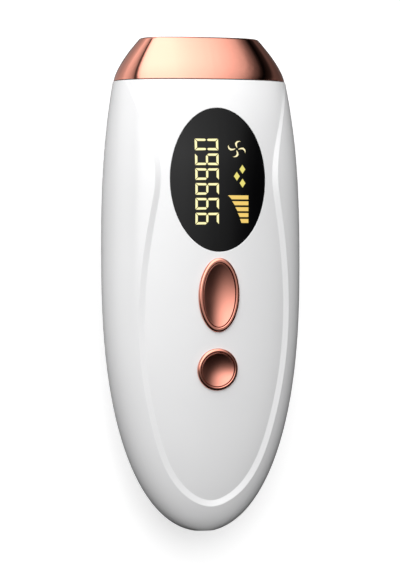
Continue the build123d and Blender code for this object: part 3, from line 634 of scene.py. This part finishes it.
class HAIR_OT_display_window(Operator):
    """Give the display window its smoked gloss"""

    bl_idname = "hair_remover.display_window"
    bl_label = "Display window"

    def execute(self, context):
        material, tree, shader = start("Smoked window", ior=1.27)
        skin = place_effect(tree, "skin", Colour=(0.003, 0.003, 0.0033, 1), Drift=0.4, Grain=300.0)
        haze = place_effect(tree, "haze", Clean=0.05, Hazed=0.12, Size=70.0, Cover=0.4)
        tree.links.new(skin["Colour"], shader.inputs["Base Color"])
        tree.links.new(haze["Roughness"], shader.inputs["Roughness"])
        bump(tree, shader, skin["Height"], 0.02, 0.00002, 0.00015)
        dress(material, "display_lens")
        return {"FINISHED"}


class HAIR_OT_display_figures(Operator):
    """Lay the lit digits on the display window"""

    bl_idname = "hair_remover.display_figures"
    bl_label = "Display figures"

    def execute(self, context):
        look = context.scene.hair_remover_display
        ink = lit_ink("Lit digit", look.ink)
        rim = lit_ink("Lit rim", look.rim_ink)
        low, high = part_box("display_lens")
        foot = (low.y + high.y) / 2 + FIGURES_FOOT
        figures = DisplayInk("display_figures", ink, rim, FIGURE_RIM)
        bars = segment_outlines(look.figure_width, look.figure_height, look.stroke, FIGURE_GAP)
        for place, digit in enumerate(look.figures):
            base = foot + place * look.figure_pitch
            for bar in SEGMENTS_OF[digit]:
                figures.shape([(FIGURES_LEFT + look.figure_height - v, base + u) for u, v in bars[bar]])
        figures.finish()
        return {"FINISHED"}


class HAIR_OT_display_marks(Operator):
    """Lay the lit fan mark, diamonds and level bars on the display window"""

    bl_idname = "hair_remover.display_marks"
    bl_label = "Display marks"

    def execute(self, context):
        look = context.scene.hair_remover_display
        rim = lit_ink("Lit mark rim", look.rim_ink)
        low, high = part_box("display_lens")
        middle_y = (low.y + high.y) / 2
        fan = DisplayInk("display_fan_mark", lit_ink("Lit fan", look.fan_ink), rim, FAN_RIM)
        centre = Vector((FAN_PLACE[0], middle_y + FAN_PLACE[1]))
        for turn in range(4):
            spin = Matrix.Rotation(-turn * math.pi / 2, 2)
            fan.shape([tuple(centre + MARK_STRETCH @ spin @ Vector(p)) for p in crescent(BLADE_SPINE)])
        fan.finish()
        diamonds = DisplayInk("display_diamonds", lit_ink("Lit diamond", look.mark_ink), rim, MARK_RIM)
        wide, tall = DIAMOND_HALF_WIDTH, DIAMOND_HALF_HEIGHT
        for x, offset in DIAMOND_PLACES:
            y = middle_y + offset
            diamonds.shape([(x - wide, y), (x, y - tall), (x + wide, y), (x, y + tall)])
        diamonds.finish()
        bars = DisplayInk("display_level_bars", lit_ink("Lit level bar", look.level_ink), rim, MARK_RIM)
        for i, (upper, lower) in enumerate(BAR_LEFTS):
            top = middle_y + BARS_TOP - i * BAR_PITCH
            under = top - BAR_THICK
            bars.shape([(upper, top), (BARS_RIGHT, top), (BARS_RIGHT, under), (lower, under)])
        bars.finish()
        return {"FINISHED"}


class HAIR_OT_lamp_head(Operator):
    """Finish the light window, its filter, the lamp and its reflector"""

    bl_idname = "hair_remover.lamp_head"
    bl_label = "Lamp head"

    def execute(self, context):
        dress(
            moulded_plastic("Bezel plastic", (0.75, 0.75, 0.74), gloss=(0.3, 0.4), soft_edge=0.0002),
            "window_bezel",
        )
        dress(
            moulded_plastic("Carrier plastic", (0.2, 0.21, 0.22), gloss=(0.45, 0.6), relief=0.6),
            "lamp_carrier",
        )
        dress(worn_metal("Contact steel", (0.75, 0.75, 0.76), roughness=(0.08, 0.16)), "skin_contacts")
        dress(
            moulded_plastic("Seal rubber", (0.03, 0.03, 0.03), gloss=(0.6, 0.75), relief=0.5),
            "filter_gasket", "tube_holders",
        )
        dress(clear_glass("Amber filter", (0.95, 0.5, 0.14)), "filter_glass")
        dress(clear_glass("Quartz tube", (0.97, 0.98, 0.99), ior=1.46), "flash_tube")
        dress(
            worn_metal("Reflector sheet", (0.9, 0.9, 0.91), roughness=(0.05, 0.1), stretch=(0.05, 1, 1)),
            "reflector",
        )
        dress(worn_metal("Electrode metal", (0.55, 0.55, 0.57)), "tube_electrodes", "trigger_wire")
        return {"FINISHED"}


def board_material():
    """Green solder mask with copper tracks under it, and bright pads."""
    material, tree, shader = start("Circuit board", coat_weight=0.3, coat_roughness=0.1)
    place = object_place(tree)
    tracks = add(tree, "ShaderNodeTexBrick", offset=0.37, squash=1.6, squash_frequency=3)
    put(tree, tracks, Vector=place, Scale=420.0)
    tracks.inputs["Mortar Size"].default_value = 0.06
    shade = blend_colours(tree, tracks.outputs["Fac"], (0.012, 0.11, 0.05, 1), (0.03, 0.2, 0.08, 1))
    cells = add(tree, "ShaderNodeTexVoronoi", feature="F1")
    put(tree, cells, Vector=place, Scale=330.0)
    pads = remap(tree, cells.outputs["Distance"], 0.16, 0.13)
    coloured = blend_colours(tree, pads, shade, (0.62, 0.62, 0.6, 1))
    # Tint with painted shade where parts stand on the board, by ambient occlusion.
    tinted_and_shaded = place_effect(tree, "dust", Colour=coloured, Amount=0.25)
    tree.links.new(tinted_and_shaded["Colour"], shader.inputs["Base Color"])
    tree.links.new(remap(tree, pads, 0, 1, 0.35, 0.22), shader.inputs["Roughness"])
    tree.links.new(pads, shader.inputs["Metallic"])
    bump(tree, shader, maths(tree, "ADD", tracks.outputs["Fac"], pads), 0.4, 0.00003)
    return material


def wound_material(name, colour, pitch, axis):
    """Turns of wire or tape side by side, each darker towards its edges in painted shade."""
    material, tree, shader = start(name, coat_weight=0.3)
    turns = add(tree, "ShaderNodeTexWave", bands_direction=axis, scale=pitch, distortion=0.4)
    tree.links.new(object_place(tree), turns.inputs["Vector"])
    # Painted shade: each turn darkens towards its edges, where the turns meet.
    groove_shade = remap(tree, turns.outputs["Fac"], 0, 1, 0.5, 0.0)
    shade = blend_colours(tree, groove_shade, rgba(colour), (0.02, 0.01, 0.0, 1))
    tree.links.new(shade, shader.inputs["Base Color"])
    tree.links.new(remap(tree, turns.outputs["Fac"], 0, 1, 0.5, 0.3), shader.inputs["Roughness"])
    bump(tree, shader, turns.outputs["Fac"], 0.5, 0.00008)
    return material


def sleeve_material():
    """A plain shrink sleeve with a pale stripe along one side."""
    material, tree, shader = start("Capacitor sleeve", coat_weight=0.4)
    parts = add(tree, "ShaderNodeSeparateXYZ")
    tree.links.new(object_place(tree), parts.inputs["Vector"])
    stripe = maths(tree, "LESS_THAN", maths(tree, "ABSOLUTE", parts.outputs["X"]), 0.002)
    skin = place_effect(
        tree, "skin", Colour=(0.012, 0.02, 0.06, 1), Drift=0.2, Gloss_Low=0.25, Gloss_High=0.4, Grain=500.0
    )
    striped = blend_colours(tree, stripe, skin["Colour"], (0.45, 0.47, 0.5, 1))
    tree.links.new(striped, shader.inputs["Base Color"])
    tree.links.new(skin["Roughness"], shader.inputs["Roughness"])
    bump(tree, shader, skin["Height"], 0.2, 0.00004)
    return material


class HAIR_OT_boards(Operator):
    """Finish the circuit boards and what stands on them"""

    bl_idname = "hair_remover.boards"
    bl_label = "Circuit boards"

    def execute(self, context):
        dress(board_material(), "main_board", "display_board")
        dress(
            moulded_plastic("Chip epoxy", (0.02, 0.02, 0.02), gloss=(0.5, 0.65), relief=0.5),
            "display_controller", "power_transistor",
        )
        dress(
            moulded_plastic("Switch plastic", (0.03, 0.03, 0.032), gloss=(0.4, 0.5)),
            "fire_switch_body", "power_switch_body",
        )
        dress(
            moulded_plastic("Header plastic", (0.72, 0.7, 0.64)),
            "fire_switch_plunger", "power_switch_plunger", "board_connectors", "lcd_backlight",
        )
        dress(clear_glass("Display cell", (0.5, 0.55, 0.5)), "lcd_glass")
        dress(
            moulded_plastic("Ferrite", (0.06, 0.06, 0.065), gloss=(0.6, 0.8), relief=0.9),
            "transformer_core",
        )
        dress(wound_material("Coil tape", (0.62, 0.45, 0.05), 1400.0, "Z"), "transformer_winding")
        dress(moulded_plastic("Potted coil", (0.35, 0.03, 0.02), gloss=(0.3, 0.4)), "trigger_coil")
        dress(
            worn_metal("Heat sink aluminium", (0.7, 0.71, 0.72), roughness=(0.3, 0.45), stretch=(1, 1, 0.05)),
            "heat_sink",
        )
        dress(sleeve_material(), "flash_capacitor", "filter_capacitors")
        return {"FINISHED"}


class HAIR_OT_fan(Operator):
    """Finish the cooling fan"""

    bl_idname = "hair_remover.fan"
    bl_label = "Cooling fan"

    def execute(self, context):
        dress(
            moulded_plastic("Fan frame plastic", (0.035, 0.035, 0.037), gloss=(0.4, 0.55), relief=0.5),
            "fan_frame",
        )
        dress(
            moulded_plastic("Fan blade plastic", (0.05, 0.05, 0.052), gloss=(0.3, 0.42), relief=0.3),
            "fan_rotor",
        )
        dress(wound_material("Motor winding", (0.6, 0.22, 0.07), 2400.0, "Z"), "fan_coil")
        dress(worn_metal("Sintered bronze", (0.6, 0.4, 0.2), roughness=(0.4, 0.55)), "fan_bearing")
        dress(
            worn_metal("Shaft steel", (0.6, 0.6, 0.62), roughness=(0.15, 0.25), stretch=(1, 1, 0.1)),
            "fan_shaft",
        )
        return {"FINISHED"}


class HAIR_OT_wiring(Operator):
    """Finish the wires and the flat cable"""

    bl_idname = "hair_remover.wiring"
    bl_label = "Wiring"

    def execute(self, context):
        red = moulded_plastic("Red insulation", (0.5, 0.02, 0.015), gloss=(0.4, 0.5), grain=1500.0)
        black = moulded_plastic("Black insulation", (0.015, 0.015, 0.015), gloss=(0.4, 0.5), grain=1500.0)
        dress(red, "lamp_leads", "capacitor_leads")
        dress(black, "charge_leads", "fan_leads")
        dress(wound_material("Flat cable", (0.75, 0.74, 0.7), 620.0, "X"), "ribbon_cable")
        return {"FINISHED"}


class HAIR_OT_socket(Operator):
    """Finish the charging socket and the screws"""

    bl_idname = "hair_remover.socket"
    bl_label = "Socket and screws"

    def execute(self, context):
        dress(
            moulded_plastic("Socket plastic", (0.03, 0.03, 0.03), gloss=(0.35, 0.45), soft_edge=0.0002),
            "dc_socket_body",
        )
        dress(
            worn_metal("Socket metal", (0.8, 0.78, 0.72), roughness=(0.15, 0.25)),
            "dc_socket_pin", "dc_socket_terminals",
        )
        dress(
            worn_metal("Screw steel", (0.5, 0.5, 0.52), roughness=(0.25, 0.4)),
            "shell_screws", "board_screws", "fan_screws",
        )
        return {"FINISHED"}


class HAIR_OT_stage(Operator):
    """Set up the floor, the studio's light and the camera"""

    bl_idname = "hair_remover.stage"
    bl_label = "Stage"

    def execute(self, context):
        look = context.scene.hair_remover_studio
        make_floor(look)
        make_studio_light(look)
        make_camera(look)
        context.scene.view_settings.view_transform = "Standard"
        return {"FINISHED"}


FLOOR_REACH = 6.0
FLOOR_DROP = 0.00005


def make_floor(look):
    """A broad backlit floor, kept out of the tool's reflections."""
    bm = bmesh.new()
    bmesh.ops.create_grid(bm, x_segments=24, y_segments=24, size=FLOOR_REACH)
    mesh = bpy.data.meshes.new("studio_floor")
    bm.to_mesh(mesh)
    bm.free()
    floor = bpy.data.objects.new("studio_floor", mesh)
    bpy.context.scene.collection.objects.link(floor)
    material, tree, shader = start("Studio floor")
    drift = noise(tree, object_place(tree), 6.0, 4.0)
    colour = rgba(look.floor)
    mottled = blend_colours(tree, remap(tree, drift, 0.3, 0.7, 0.0, 0.02), colour, (0.7, 0.7, 0.7, 1))
    tree.links.new(mottled, shader.inputs["Base Color"])
    tree.links.new(remap(tree, drift, 0.3, 0.7, 0.7, 0.8), shader.inputs["Roughness"])
    shader.inputs["Emission Color"].default_value = colour
    shader.inputs["Emission Strength"].default_value = look.floor_glow
    mesh.materials.append(material)
    floor.location.z = -FLOOR_DROP
    floor.visible_glossy = False
    floor.visible_diffuse = False
    floor.visible_shadow = False


# The studio's light by its angle round the tool's length, from straight up towards the tool's right.
ACROSS = [
    (-180, 0.15), (-150, 0.2), (-120, 0.3), (-105, 0.45), (-90, 0.4), (-75, 0.28), (-66, 0.15), (-62, 0.03),
    (-57, 0.06), (-52, 0.6), (-45, 0.9), (-31, 1.0), (-25, 1.0), (-10, 1.0), (0, 0.98), (4, 0.9),
    (11.5, 0.75), (17, 0.57), (19, 0.5), (25, 0.32), (28, 0.18), (32, 0.07), (38, 0.01), (42, 0.0),
    (55, 0.01), (62, 0.04), (66, 0.05), (90, 0.04), (107, 0.05), (180, 0.03),
]
# Its level by how far the direction points towards the tool's head.
ALONG = [
    (-1.0, 0.0), (-0.5, 0.0), (-0.25, 0.12), (0.0, 0.72), (0.15, 0.95), (0.4, 0.8), (0.6, 0.85),
    (0.8, 0.95), (1.0, 0.95),
]
# How far the strips lean towards the tool's head, on its left and on its right.
LEAN_LEFT, LEAN_RIGHT = 0.34, 1.07
LEAN_CHANGE = 0.05  # how far to either side of straight up the lean changes over


def ramp(tree, value, stops, low, high):
    """A smooth curve of grey levels over low to high."""
    node = add(tree, "ShaderNodeValToRGB")
    tree.links.new(remap(tree, value, low, high), node.inputs["Fac"])
    elements = node.color_ramp.elements
    while len(elements) > 1:
        elements.remove(elements[-1])
    for i, (at, level) in enumerate(stops):
        element = elements[0] if i == 0 else elements.new((at - low) / (high - low))
        element.position = (at - low) / (high - low)
        element.color = (level, level, level, 1)
    return node.outputs["Color"]


def make_studio_light(look):
    """Softboxes as a wrapped surround: a broad one over the left, a dark flag and a strip on the right."""
    world = bpy.data.worlds.new("Studio")
    bpy.context.scene.world = world
    world.use_nodes = True
    tree = world.node_tree
    tree.nodes.clear()
    output = add(tree, "ShaderNodeOutputWorld")
    parts = add(tree, "ShaderNodeSeparateXYZ")
    tree.links.new(add(tree, "ShaderNodeTexCoord").outputs["Generated"], parts.inputs["Vector"])
    lean = remap(tree, parts.outputs["X"], -LEAN_CHANGE, LEAN_CHANGE, LEAN_LEFT, LEAN_RIGHT)
    height = maths(tree, "ADD", parts.outputs["Z"], maths(tree, "MULTIPLY", parts.outputs["Y"], lean))
    turn = maths(tree, "ARCTAN2", parts.outputs["X"], height)
    angle = maths(tree, "MULTIPLY", turn, 180 / math.pi)
    across = ramp(tree, angle, ACROSS, -180, 180)
    along = ramp(tree, parts.outputs["Y"], ALONG, -1, 1)
    surround = add(tree, "ShaderNodeBackground", strength=look.light)
    tree.links.new(blend_colours(tree, 1.0, across, along, "MULTIPLY"), surround.inputs["Color"])
    backdrop = add(tree, "ShaderNodeBackground", strength=1.0)
    backdrop.inputs["Color"].default_value = (1.0, 1.0, 1.0, 1)
    seen = add(tree, "ShaderNodeMixShader")
    tree.links.new(add(tree, "ShaderNodeLightPath").outputs["Is Camera Ray"], seen.inputs["Fac"])
    tree.links.new(surround.outputs["Background"], seen.inputs[1])
    tree.links.new(backdrop.outputs["Background"], seen.inputs[2])
    tree.links.new(seen.outputs["Shader"], output.inputs["Surface"])


SENSOR_WIDTH = 36.0
CLIP_RANGE = 0.05, 30.0


def make_camera(look):
    """A long lens over the tool, turned round the tool's length to its left."""
    data = bpy.data.cameras.new("Studio camera")
    data.sensor_width = SENSOR_WIDTH
    data.lens = data.sensor_width * look.distance / look.frame_height
    data.clip_start, data.clip_end = CLIP_RANGE
    camera = bpy.data.objects.new("Studio camera", data)
    bpy.context.scene.collection.objects.link(camera)
    low, high = CAD_BOX
    middle = (low + high) / 2
    away = Vector((-math.sin(look.tilt), 0, math.cos(look.tilt)))
    right = Vector((math.cos(look.tilt), 0, math.sin(look.tilt)))
    up = Vector((0, 1, 0))
    turn = Matrix.Rotation(look.roll, 3, away)
    right, up = turn @ right, turn @ up
    place = middle + right * look.aim[0] + up * look.aim[1] + away * look.distance
    camera.matrix_world = Matrix.Translation(place) @ Matrix((right, up, away)).transposed().to_4x4()
    bpy.context.scene.camera = camera


# ---- add-on -------------------------------------------------------------------------------
OPERATORS = [
    HAIR_OT_casing,
    HAIR_OT_plating,
    HAIR_OT_display_window,
    HAIR_OT_display_figures,
    HAIR_OT_display_marks,
    HAIR_OT_lamp_head,
    HAIR_OT_boards,
    HAIR_OT_fan,
    HAIR_OT_wiring,
    HAIR_OT_socket,
    HAIR_OT_stage,
]


class HAIR_PT_panel(Panel):
    """Lists the steps that dress the hair remover"""

    bl_label = "Hair Remover"
    bl_idname = "HAIR_PT_panel"
    bl_space_type = "VIEW_3D"
    bl_region_type = "UI"
    bl_category = "Hair Remover"

    def draw(self, context):
        for group in SETTINGS:
            box = self.layout.box()
            settings = getattr(context.scene, group)
            for name in settings.__annotations__:
                box.prop(settings, name)
        for operator in OPERATORS:
            self.layout.operator(operator.bl_idname)


SETTINGS = {
    "hair_remover_casing": CasingSettings,
    "hair_remover_plating": PlatingSettings,
    "hair_remover_display": DisplaySettings,
    "hair_remover_studio": StudioSettings,
}


def register():
    for group, kind in SETTINGS.items():
        bpy.utils.register_class(kind)
        setattr(bpy.types.Scene, group, PointerProperty(type=kind))
    for operator in OPERATORS:
        bpy.utils.register_class(operator)
    bpy.utils.register_class(HAIR_PT_panel)


def unregister():
    bpy.utils.unregister_class(HAIR_PT_panel)
    for operator in reversed(OPERATORS):
        bpy.utils.unregister_class(operator)
    for group, kind in SETTINGS.items():
        delattr(bpy.types.Scene, group)
        bpy.utils.unregister_class(kind)


def main():
    register()
    for operator in OPERATORS:
        area, step = operator.bl_idname.split(".")
        getattr(getattr(bpy.ops, area), step)()


if __name__ == "__main__":
    main()
